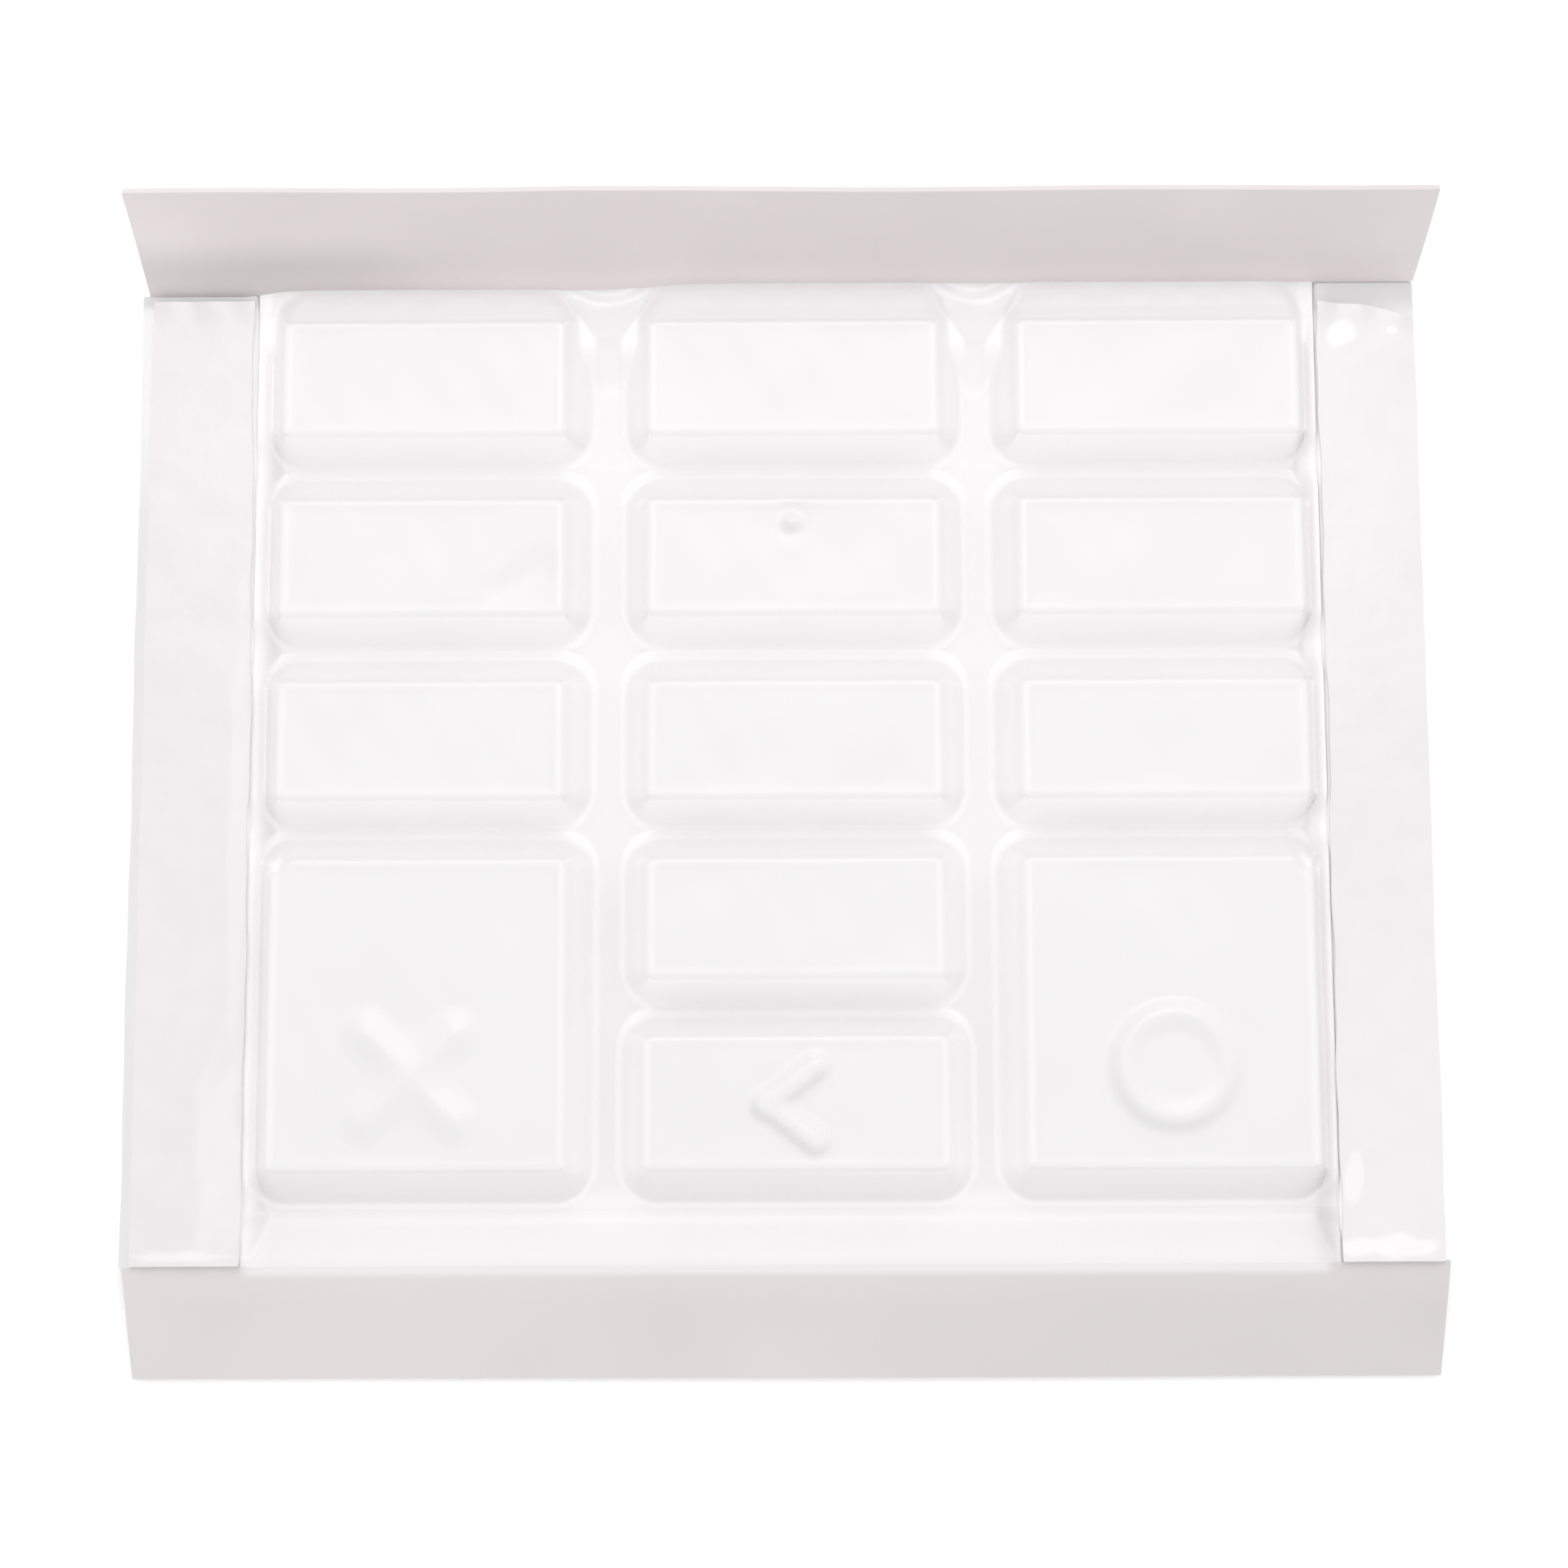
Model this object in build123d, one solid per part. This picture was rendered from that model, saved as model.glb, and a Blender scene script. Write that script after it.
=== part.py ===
from build123d import *
from collections import namedtuple
from math import atan2, cos, degrees, hypot, radians, sin
import os

os.makedirs("parts", exist_ok=True)

# A thin moulded film cover for a PIN keypad, in millimetres. +X runs to the user's right, +Y away
# from the user and +Z up. The origin is at the middle of the footprint, on the surface that the
# cover rests on. The film is moulded in one piece, and here it is parted at its creases and round
# the feet of its key pockets, where it bends.

# Film and outline
film = 0.5  # thickness of the moulded film
half_depth = 34.42  # origin to the free edges of both flaps
rail_outer = 38.0  # origin to the outer edge of a side rail's top
left_inner, right_inner = 31.45, 31.95  # origin to the inner walls of the two side rails
skirt_flare = 0.5  # how far a side skirt spreads at its foot
rail_top = 2.6  # height of the side rails and of both creases
front_crease = -27.5
apron_foot = -24.2  # where the front apron starts to climb to its crease
rear_crease = 30.5
hinge_gap = 0.15  # slit left at each crease

# Flaps
rear_angle = 60.0  # how steeply the rear flap stands up
front_angle = 16.5  # how steeply the front flap slopes down
rear_flap_foot = 75.6  # width of the rear flap at its crease
rear_flap_edge = 76.8  # width of the rear flap at its free edge
front_flap_foot = 76.4
front_flap_edge = 75.8
flap_corner = 1.2

# Side strips
left_strip, right_strip = 6.3, 5.8  # widths of the strips
strip_inset = 0.12  # rail's inner edge to the strip
strip_front = -27.1
strip_rear = 29.4
tape = 0.25  # thickness of the adhesive tape
liner = 0.15  # thickness of the peel-off liner
liner_overhang = 0.35  # how far the liner runs past the tape at each end

# Key pockets
key_top = 3.8  # height of a pocket's top face
rows = 24.74, 13.84, 2.92, -7.58  # middles of the four rows of small keys, rear row first
row_behind = 1.5, 2.1, 1.95, 1.7  # how far their rear walls spread from top to foot
row_ahead = 0.95, 1.1, 1.15, 1.2  # the same for their front walls
left_column, middle_column, right_column = -21.3, 0.65, 22.35
side_key, middle_key, wide_key, tall_key = 16.8, 17.3, 17.7, 17.2  # widths of the top faces
key_depth = 7.1
wide_depth = 7.75
tall_depth = 18.1
side_draft = 1.5  # how far a side wall spreads from top to foot
tight_draft = 1.05  # the same beside the right rail, where there is less room
wide_behind = 1.5  # the same for the rear wall of the key that is in front of the small keys
last_ahead = 1.85  # the same for the front walls nearest the user
top_radius = 1.0
foot_radius = 2.2
wall = 0.45
rim = 1.4  # height of the moving pocket's lower rim
collar_top = 0.8  # height of the foot that stays on the sheet
key_gap = 0.15  # slit between a pocket and its foot

# Tactile marks
mark = 0.4  # height of the raised marks
bar = 1.4  # width of the strokes of the cross and the chevron
cross_length = 9.0
cross_setback = 4.6  # the cross's middle, from the front edge of its pocket
ring_outer, ring_inner = 4.05, 2.9
ring_setback = 5.5
chevron_reach, chevron_rise = 4.0, 3.0
nub_radius = 0.6
nub_setback = 1.4  # the nub's middle, from the rear edge of its pocket

Key = namedtuple("Key", "left right front rear draft_left draft_right draft_front draft_rear")


def key(column, width, front, rear, ahead, behind, right=side_draft):
    """A pocket from its column, its width and the front and rear edges of its top face."""
    return Key(column - width / 2, column + width / 2, front, rear, side_draft, right, ahead, behind)


def keypad():
    """Every pocket by name, rear row first."""
    keys = {}
    for row in range(3):
        span = rows[row] - key_depth / 2, rows[row] + key_depth / 2, row_ahead[row], row_behind[row]
        first = 3 * row + 1
        keys[f"pocket_{first}"] = key(left_column, side_key, *span)
        keys[f"pocket_{first + 1}"] = key(middle_column, middle_key, *span)
        keys[f"pocket_{first + 2}"] = key(right_column, side_key, *span, tight_draft)
    front, rear = rows[3] - key_depth / 2, rows[3] + key_depth / 2
    last = rear - tall_depth
    keys["pocket_0"] = key(middle_column, middle_key, front, rear, row_ahead[3], row_behind[3])
    tall = last, rear, last_ahead, row_behind[3]
    keys["pocket_cancel"] = key(left_column, tall_key, *tall)
    keys["pocket_enter"] = key(right_column, side_key, *tall, tight_draft)
    keys["pocket_clear"] = key(
        middle_column, wide_key, last, last + wide_depth, last_ahead, wide_behind
    )
    return keys


def section(k, height, inset=0.0):
    """A pocket's outline at one height, a rounded rectangle drawn in by inset all round."""
    share = (key_top - height) / (key_top - film)
    left = k.left - share * k.draft_left + inset
    right = k.right + share * k.draft_right - inset
    front = k.front - share * k.draft_front + inset
    rear = k.rear + share * k.draft_rear - inset
    radius = top_radius + share * (foot_radius - top_radius) - inset
    outline = RectangleRounded(right - left, rear - front, radius)
    return Pos((left + right) / 2, (front + rear) / 2, height) * outline


def frustum(k, low, high, inset=0.0):
    """The solid between a pocket's outlines at two heights."""
    return loft([section(k, low, inset), section(k, high, inset)], ruled=True)


def pocket_shell(k):
    """The hollow cap of one pocket, open below."""
    return frustum(k, rim, key_top) - frustum(k, rim - film, key_top - film, wall)


def stroke(start, end):
    """A raised bar with round ends between two points on the keys' top faces."""
    run, rise = end[0] - start[0], end[1] - start[1]
    middle = ((start[0] + end[0]) / 2, (start[1] + end[1]) / 2)
    slot = SlotCenterToCenter(hypot(run, rise), bar)
    placed = Pos(*middle, key_top - film / 2) * Rot(0, 0, degrees(atan2(rise, run))) * slot
    return extrude(placed, film / 2 + mark)


def cross(k):
    """The cancel key's cross, near the front of its pocket."""
    x, y = (k.left + k.right) / 2 - 0.3, k.front + cross_setback
    arm = (cross_length - bar) / 2 * cos(radians(45))
    return stroke((x - arm, y - arm), (x + arm, y + arm)) + stroke((x - arm, y + arm), (x + arm, y - arm))


def chevron(k):
    """The clear key's chevron, which points left."""
    x, y = (k.left + k.right) / 2 - chevron_reach / 2, (k.front + k.rear) / 2
    reach, rise = chevron_reach - bar / 2, chevron_rise - bar / 2
    return stroke((x, y), (x + reach, y + rise)) + stroke((x, y), (x + reach, y - rise))


def ring(k):
    """The enter key's ring, near the front of its pocket."""
    outline = Circle(ring_outer) - Circle(ring_inner)
    x, y = (k.left + k.right) / 2 + 0.4, k.front + ring_setback
    return extrude(Pos(x, y, key_top - film / 2) * outline, film / 2 + mark)


def nub(k):
    """The small dome that marks the middle key, close to its rear edge."""
    place = Pos((k.left + k.right) / 2, k.rear - nub_setback, key_top)
    dome = place * Sphere(nub_radius)
    below = place * Pos(0, 0, -nub_radius) * Box(4 * nub_radius, 4 * nub_radius, 2 * nub_radius)
    return dome - below + place * Pos(0, 0, -film / 4) * Cylinder(nub_radius, film / 2)


marks = {"pocket_cancel": cross, "pocket_clear": chevron, "pocket_enter": ring, "pocket_5": nub}


def pocket(name, k):
    """One key pocket with its tactile mark, if it has one."""
    shell = pocket_shell(k)
    return shell + marks[name](k) if name in marks else shell


def rail_profile(inner):
    """Section across a right rail: inner wall, top and flared outer skirt."""
    under = rail_top - film
    foot = rail_outer + skirt_flare
    return Polyline(
        (inner, 0),
        (inner + film, 0),
        (inner + film, under),
        (rail_outer - film, under),
        (foot - film, 0),
        (foot, 0),
        (rail_outer, rail_top),
        (inner, rail_top),
        close=True,
    )


def rail(inner):
    """The raised margin along the right edge, open at both ends."""
    across = Plane(origin=(0, rear_crease, 0), x_dir=(1, 0, 0), z_dir=(0, -1, 0))
    return extrude(across * make_face(rail_profile(inner)), rear_crease - front_crease)


def web():
    """The flat sheet between the rails, with the front apron and the rear step."""
    along = Plane(origin=(-left_inner, 0, 0), x_dir=(0, 1, 0), z_dir=(1, 0, 0))
    profile = Polyline(
        (apron_foot, 0),
        (rear_crease, 0),
        (rear_crease, rail_top),
        (rear_crease - film, rail_top),
        (rear_crease - film, film),
        (apron_foot - 0.1, film),
        (front_crease, rail_top),
        (front_crease, rail_top - film),
        close=True,
    )
    return extrude(along * make_face(profile), left_inner + right_inner)


def cover_sheet(keys):
    """The sheet that holds everything: web, rails and the fixed feet of the pockets."""
    sheet = web() + rail(right_inner) + mirror(rail(left_inner), Plane.YZ)
    for k in keys.values():
        sheet += frustum(k, film / 2, collar_top)
    for k in keys.values():
        opening = Pos(0, 0, -rim - film) * section(k, rim, -key_gap)
        sheet -= extrude(opening, rim + film + rail_top)
    return sheet


def flap(foot, edge, angle, start, height):
    """A flat tongue that leaves y = start at an angle and ends at the footprint's edge."""
    lean = radians(angle)
    forward = max(0, -film * sin(lean))  # how far the upper face reaches past the lower one
    length = (half_depth - start - forward) / cos(lean)
    plane = Plane(origin=(0, start, height), x_dir=(1, 0, 0), z_dir=(0, -sin(lean), cos(lean)))
    corners = ((-foot / 2, 0), (foot / 2, 0), (edge / 2, length), (-edge / 2, length))
    outline = make_face(Polyline(*corners, close=True))
    free = outline.vertices().sort_by(Axis.Y)[-2:]
    return extrude(plane * fillet(free, flap_corner), film)


def rear_flap():
    """The flap that stands up behind the keys."""
    return flap(rear_flap_foot, rear_flap_edge, rear_angle, rear_crease, rail_top + hinge_gap)


def front_flap():
    """The flap that slopes down in front of the keys, almost to the surface below."""
    start = hinge_gap - front_crease
    tongue = flap(front_flap_foot, front_flap_edge, -front_angle, start, rail_top - film)
    return mirror(tongue, Plane.XZ)


def strip(side, inner, width, bottom, thickness, overhang):
    """A flat strip along the top of one rail."""
    length = strip_rear - strip_front + 2 * overhang
    x = side * (inner + strip_inset + width / 2)
    y = (strip_front + strip_rear) / 2
    return Pos(x, y, bottom + thickness / 2) * Box(width, length, thickness)


def parts():
    """Every sub-part by its node name."""
    keys = keypad()
    made = {"cover_sheet": cover_sheet(keys), "front_flap": front_flap(), "rear_flap": rear_flap()}
    strips = (("left", -1, left_inner, left_strip), ("right", 1, right_inner, right_strip))
    for name, *place in strips:
        made[f"{name}_tape"] = strip(*place, rail_top, tape, 0)
        made[f"{name}_liner"] = strip(*place, rail_top + tape, liner, liner_overhang)
    for name, k in keys.items():
        made[name] = pocket(name, k)
    return made


for name, shape in parts().items():
    export_step(shape, f"parts/{name}.step")
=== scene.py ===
from collections import namedtuple
from math import atan2, cos, pi, radians, sin

import bpy
from mathutils import Matrix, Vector
import numpy as np


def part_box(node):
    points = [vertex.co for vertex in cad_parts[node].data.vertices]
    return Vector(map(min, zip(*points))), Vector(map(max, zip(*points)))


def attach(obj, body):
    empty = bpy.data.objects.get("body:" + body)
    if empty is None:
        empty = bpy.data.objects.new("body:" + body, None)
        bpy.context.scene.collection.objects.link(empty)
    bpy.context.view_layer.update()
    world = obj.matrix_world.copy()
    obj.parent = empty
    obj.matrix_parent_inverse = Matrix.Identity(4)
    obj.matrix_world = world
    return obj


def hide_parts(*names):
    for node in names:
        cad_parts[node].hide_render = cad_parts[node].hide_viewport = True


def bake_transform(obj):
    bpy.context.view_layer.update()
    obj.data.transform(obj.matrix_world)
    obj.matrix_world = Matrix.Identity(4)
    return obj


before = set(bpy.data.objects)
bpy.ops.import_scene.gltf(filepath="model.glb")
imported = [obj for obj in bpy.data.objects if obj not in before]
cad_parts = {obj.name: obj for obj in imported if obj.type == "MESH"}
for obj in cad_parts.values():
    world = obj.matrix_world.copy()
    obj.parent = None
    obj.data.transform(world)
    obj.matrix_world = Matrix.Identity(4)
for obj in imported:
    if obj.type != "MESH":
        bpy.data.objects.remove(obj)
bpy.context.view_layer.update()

# A thin milky film cover for a PIN keypad. Shapes are worked out in millimetres from the frame's
# boxes, in the frame's own axes: +X right, +Y away from the user, +Z up.

MM = 0.001
FILM = 0.5  # thickness of the moulded film, and the height of the web's upper face
THIN_FILM = 0.4  # thickness at the rails and the flaps
FINE, COARSE = 0.13, 0.27  # spacing of the skin's grid lines, on the walls and elsewhere


def box_mm(node):
    """Lowest and highest corners of a CAD node, in millimetres."""
    low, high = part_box(node)
    return np.array(low) / MM, np.array(high) / MM


SHEET_LOW, SHEET_HIGH = box_mm("cover_sheet")
RAIL_TOP = SHEET_HIGH[2]
FRONT_CREASE, REAR_CREASE = SHEET_LOW[1], SHEET_HIGH[1]
SKIRT_FOOT = SHEET_HIGH[0]
RAIL_OUTER = SKIRT_FOOT - 0.5
LEFT_INNER, RIGHT_INNER = 31.45, 31.95  # from the middle to the inner walls of the rails
KEY_RIM, KEY_TOP = box_mm("pocket_1")[0][2], box_mm("pocket_1")[1][2]
KEY_RISE = KEY_TOP - FILM

# ---------------------------------------------------------------- key pockets

SIDE_DRAFT, TIGHT_DRAFT = 1.5, 1.05  # how far the walls spread from top face to foot
ROW_BEHIND, WIDE_BEHIND = (1.5, 2.1, 1.95, 1.7), 1.5
ROW_AHEAD, LAST_AHEAD = (0.95, 1.1, 1.15, 1.2), 1.85
TOP_RADIUS, FOOT_RADIUS = 0.45, 2.3
Pocket = namedtuple("Pocket", "left right front rear d_left d_right d_front d_rear")
COLUMNS = (("1", "4", "7", "cancel"), ("2", "5", "8", "0", "clear"), ("3", "6", "9", "enter"))
LAST_KEYS = ("cancel", "clear", "enter")  # the pockets nearest the user


def pocket_of(key, column, row):
    """A pocket's top face and drafts, from the box of its CAD node."""
    low, high = box_mm(f"pocket_{key}")
    share = (KEY_TOP - KEY_RIM) / KEY_RISE
    d_right = TIGHT_DRAFT if column == 2 else SIDE_DRAFT
    d_front = LAST_AHEAD if key in LAST_KEYS else ROW_AHEAD[row]
    d_rear = WIDE_BEHIND if key == "clear" else ROW_BEHIND[row]
    rear = high[1] - share * d_rear
    if row == 0:  # the film behind the rear row only sinks as far as the crease
        d_rear = (REAR_CREASE - rear) * KEY_RISE / (KEY_TOP - RAIL_TOP)
    return Pocket(
        low[0] + share * SIDE_DRAFT,
        high[0] - share * d_right,
        low[1] + share * d_front,
        rear,
        SIDE_DRAFT,
        d_right,
        d_front,
        d_rear,
    )


POCKETS = {
    key: pocket_of(key, c, r) for c, keys in enumerate(COLUMNS) for r, key in enumerate(keys)
}
APRON_FOOT = POCKETS["cancel"].front - LAST_AHEAD - 0.35  # where the front apron begins
RAMP_FOOT, SHELF = REAR_CREASE - 5.9, REAR_CREASE - 2.9  # where the valleys climb at the rear
SHELF_SHARE = 0.82  # how much of the climb is in front of the shelf
BRIDGE = REAR_CREASE - 1.3  # where the film begins to follow the rear crease
VEE_FOOT = REAR_CREASE - 3.4  # narrow end of the V-shaped fold at the rear of a valley
VEE_WIDTH, VEE_SPREAD = 0.6, 0.76  # its half width there and how fast that grows to the rear
MIDDLE_LEDGE, LEDGE = 0.9, 1.9  # where the film of the middle and outer pockets starts to move
SHOULDERS = 2.3, 2.5  # heights that the film reaches beside the left and right rails


def midway(rear_key, front_key):
    """The line between the feet of two pockets, one in front of the other."""
    rear, front = POCKETS[rear_key], POCKETS[front_key]
    return (rear.front - rear.d_front + front.rear + front.d_rear) / 2


def between(left_key, right_key):
    """The line between the feet of two pockets side by side."""
    left, right = POCKETS[left_key], POCKETS[right_key]
    return (left.right + left.d_right + right.left - right.d_left) / 2


COLUMN_LINES = (-LEFT_INNER, between("1", "2"), between("2", "3"), RIGHT_INNER)
ROW_LINES = [
    [REAR_CREASE] + [midway(a, b) for a, b in zip(keys, keys[1:])] + [APRON_FOOT]
    for keys in COLUMNS
]


def smooth(t):
    """0 below 0, 1 above 1 and smooth between."""
    t = np.clip(t, 0, 1)
    return t * t * (3 - 2 * t)


def rounded_distance(x, y, left, right, front, rear, radius):
    """Signed distance to a rounded rectangle, negative inside."""
    qx = np.abs(x - (left + right) / 2) - ((right - left) / 2 - radius)
    qy = np.abs(y - (front + rear) / 2) - ((rear - front) / 2 - radius)
    outside = np.hypot(np.maximum(qx, 0), np.maximum(qy, 0))
    return outside + np.minimum(np.maximum(qx, qy), 0) - radius


def outline_distance(p, share, x, y):
    """Signed distance to a pocket's outline, part of the way from its top face to its foot. The
    corners are rounder on the shelf at the rear."""
    rounder = 2.8 * share * smooth((y - SHELF + 0.4) / 1.6)
    return rounded_distance(
        x,
        y,
        p.left - share * p.d_left,
        p.right + share * p.d_right,
        p.front - share * p.d_front,
        p.rear + share * p.d_rear,
        TOP_RADIUS + share * (FOOT_RADIUS - TOP_RADIUS) + rounder,
    )


def wall_place(p, x, y):
    """Where points lie across a pocket's wall: 0 at the top edge and 1 at the foot, and beyond
    them the distance in millimetres, below 0 on the top face and above 1 on the web."""
    low, high = np.zeros_like(x), np.ones_like(x)
    for _ in range(12):
        half = (low + high) / 2
        outer = outline_distance(p, half, x, y) > 0
        low, high = np.where(outer, half, low), np.where(outer, high, half)
    inward = outline_distance(p, 0, x, y)
    outward = outline_distance(p, 1, x, y)
    return np.where(inward < 0, inward, np.where(outward > 0, 1 + outward, (low + high) / 2))


def soft_min(a, b, width):
    """The smaller of two values, rounded off where they cross."""
    blend = np.maximum(width - np.abs(a - b), 0)
    return np.minimum(a, b) - blend * blend / (4 * width)


def soft_max(a, b, width):
    """The larger of two values, rounded off where they cross."""
    return -soft_min(-a, -b, width)


def bump(distance, width):
    """1 at distance 0, falling smoothly to 0 at width."""
    near = np.clip(1 - np.abs(distance) / width, 0, 1)
    return near * near * (3 - 2 * near)


def plateau(distance, inner, outer):
    """1 up to the inner distance, falling smoothly to 0 at the outer one."""
    near = np.clip((outer - distance) / (outer - inner), 0, 1)
    return near * near * (3 - 2 * near)


def segment_distance(x, y, start, end):
    """Distance from points to a straight stroke."""
    ax, ay = start
    bx, by = end[0] - ax, end[1] - ay
    along = np.clip(((x - ax) * bx + (y - ay) * by) / (bx * bx + by * by), 0, 1)
    return np.hypot(x - ax - along * bx, y - ay - along * by)


# Tactile marks, raised from the top faces
MARK = 0.4
CROSS_ARM, CROSS_SETBACK = 2.55, 5.4
RING_RADIUS, RING_SETBACK = 3.05, 5.9
CHEVRON_REACH, CHEVRON_RISE = 2.85, 2.15
NUB_SETBACK = 1.5


def cross(p, x, y):
    """Two soft lobes that cross."""
    cx, cy = (p.left + p.right) / 2 - 0.35, p.front + CROSS_SETBACK
    arms = []
    for s in (1, -1):
        start, end = (cx - CROSS_ARM, cy - s * CROSS_ARM), (cx + CROSS_ARM, cy + s * CROSS_ARM)
        arms.append(segment_distance(x, y, start, end))
    return 0.75 * MARK * plateau(soft_min(*arms, 1.6), -0.4, 1.8)


def chevron(p, x, y):
    """Two short strokes that meet at the left."""
    cx, cy = (p.left + p.right) / 2 - 1.75, (p.front + p.rear) / 2 - 0.1
    arms = []
    for s in (1, -1):
        end = (cx + CHEVRON_REACH, cy + s * CHEVRON_RISE)
        arms.append(segment_distance(x, y, (cx, cy), end))
    return MARK * plateau(soft_min(*arms, 0.5), 0.3, 0.95)


def ring(p, x, y):
    """A crest at the ring's radius, steep on the outside, over a shallow dish."""
    cx, cy = (p.left + p.right) / 2 + 0.15, p.front + RING_SETBACK
    far = np.hypot(x - cx, y - cy)
    dish = 1 - 0.45 * smooth((RING_RADIUS - far) / 1.3)
    return MARK * plateau(far - RING_RADIUS, 0, 1.0) * dish


def nub(p, x, y):
    """A dome in a shallow channel that runs back over the key's rear edge."""
    cx, cy = (p.left + p.right) / 2 - 0.15, p.rear - NUB_SETBACK
    channel = segment_distance(x, y, (cx, cy - 0.25), (cx, p.rear + 1))
    return MARK * bump(np.hypot(x - cx, y - cy), 0.8) - 0.16 * bump(channel, 1.25)


MARKS = {"cancel": cross, "clear": chevron, "enter": ring, "5": nub}
DENTED, DENT_DEPTH = "4", 0.13  # a shallow diagonal dent near this pocket's front right corner


def ripple(x, y, key):
    """The slight unevenness of a moulded top face."""
    phase = 1.7 * (list(POCKETS).index(key) + 1)
    slow = np.sin(0.41 * x + 0.23 * y + phase) * np.cos(0.53 * y - 0.17 * x + 2 * phase)
    rippled = 0.035 * slow + 0.015 * np.sin(1.3 * x + phase) * np.sin(1.1 * y + 0.6 * x)
    if key == DENTED:
        p = POCKETS[key]
        start, end = (p.right - 3.6, p.front + 1.5), (p.right - 1.2, p.front + 2.9)
        rippled = rippled - DENT_DEPTH * bump(segment_distance(x, y, start, end), 1.7)
    return rippled


def seam_distance(y):
    """Distance to the nearest line between two pockets of an outer column."""
    return np.min([np.abs(y - line) for line in ROW_LINES[0][1:]], axis=0)


def web_height(x, y):
    """The film between the pockets. It climbs at the rear to a shelf that slopes gently up to the
    crease, and beside both rails, but less where one pocket ends and the next begins."""
    slope = SHELF_SHARE * smooth((y - RAMP_FOOT) / (SHELF - RAMP_FOOT))
    slope = slope + (1 - SHELF_SHARE) * np.clip((y - SHELF) / (REAR_CREASE - SHELF), 0, 1)
    full = smooth((seam_distance(y) - 0.1) / 1.8)
    left = (LEDGE - FILM + (SHOULDERS[0] - LEDGE) * full) * smooth((-x - LEFT_INNER + 1.5) / 1.4)
    right = (LEDGE - FILM + (SHOULDERS[1] - LEDGE) * full) * smooth((x - RIGHT_INNER + 1.2) / 1.1)
    return FILM + soft_max((RAIL_TOP - FILM) * slope, left + right, 0.1)


def crescents(x, y):
    """Strength of the two curved folds at the rear end of each valley."""
    strength = np.zeros_like(x)
    for valley in COLUMN_LINES[1:3]:
        far = np.hypot(x - valley, y - REAR_CREASE - 3.4)
        folds = np.maximum(bump(far - 4.3, 0.22), bump(far - 3.75, 0.18))
        strength = np.maximum(strength, plateau(np.abs(x - valley), 2.2, 2.9) * folds)
    return strength


def valley_distance(x):
    """Distance to the middle of the nearest valley between two columns."""
    return np.min([np.abs(x - line) for line in COLUMN_LINES[1:3]], axis=0)


def vee_distance(x, y):
    """Distance to the V-shaped fold at the rear end of each valley, negative inside."""
    half_width = VEE_WIDTH + VEE_SPREAD * (y - VEE_FOOT)
    return (valley_distance(x) - half_width) * cos(atan2(VEE_SPREAD, 1))


def inside_vee(x, y):
    """1 on the film inside the V at the rear end of each valley."""
    return smooth(-vee_distance(x, y) / 0.25) * smooth((y - VEE_FOOT + 0.2) / 0.6)


def foot_light(p, x, y, meets):
    """Painted highlight along the fold round one pocket's foot, where its wall meets the web."""
    facing = aim(p, x, y)
    strength = 0.15 + 0.4 * np.abs(facing)
    behind = smooth((facing - 0.5) / 0.4) * smooth((y - SHELF - 0.8) / 1.0)
    ahead = smooth(-facing / 0.35) * smooth((APRON_FOOT + 2.4 - y) / 0.8)
    strength = strength * (1 - 0.9 * behind) * (1 - ahead)
    strength = strength + 0.06 * smooth((y - RAMP_FOOT) / 1.5) * (np.abs(facing) < 0.9)
    in_vee = plateau(valley_distance(x), 2.8, 3.2) * smooth((y - VEE_FOOT) / 0.7)
    strength = strength * (1 - in_vee)
    reach = 0.08 + 0.2 * np.abs(facing)
    out = outline_distance(p, meets, x, y) - 0.1
    return strength * plateau(np.abs(out), reach, reach + 0.22)


def vee_light(x, y):
    """Painted highlights along the V's arms, and painted light on the film that climbs to its
    narrow end.
    """
    arms = bump(vee_distance(x, y), 0.2) * smooth((y - VEE_FOOT) / 0.5)
    arms = arms * smooth((REAR_CREASE - 0.2 - y) / 0.5)
    arms = arms * (0.15 + 0.2 * smooth((y - VEE_FOOT - 0.6) / 1.2))
    climb = 0.62 * bump(y - VEE_FOOT + 1.2, 2.1) * plateau(valley_distance(x), 0.4, 1.2)
    return np.maximum(arms, climb * smooth((VEE_FOOT + 0.3 - y) / 0.6))


def rail_light(x, y):
    """Painted light beside both rails. On the right it is strongest where two pockets meet."""
    right = smooth((x - RIGHT_INNER + 1.15) / 0.5) * smooth((y + 22.5) / 1.5)
    right = right * (0.45 + 0.55 * bump(seam_distance(y), 1.8))
    return right + 0.6 * smooth((-x - LEFT_INNER + 1.0) / 0.6)


def fold_light(x, y):
    """Painted highlights along all the folds of the web."""
    meets = np.clip((KEY_TOP - web_height(x, y)) / KEY_RISE, 0, 1)
    light = np.maximum(0.45 * crescents(x, y), vee_light(x, y))
    for p in POCKETS.values():
        light = np.maximum(light, foot_light(p, x, y, meets))
    return np.maximum(light, rail_light(x, y))


def last_foot(y):
    """1 where the web reaches the foot of the pockets nearest the user, and ahead of it."""
    return smooth((APRON_FOOT + 1.6 - y) / 1.2)


CORNERS = {"cancel": -1, "enter": 1}  # the tall pockets have one rear corner pressed in


def corner_distance(key, x, y):
    """Distance to the pressed corner of a tall pocket."""
    p = POCKETS[key]
    corner = p.left - 0.25 if CORNERS[key] < 0 else p.right + 0.25
    return np.hypot(x - corner, y - p.rear - 0.25)


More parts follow.
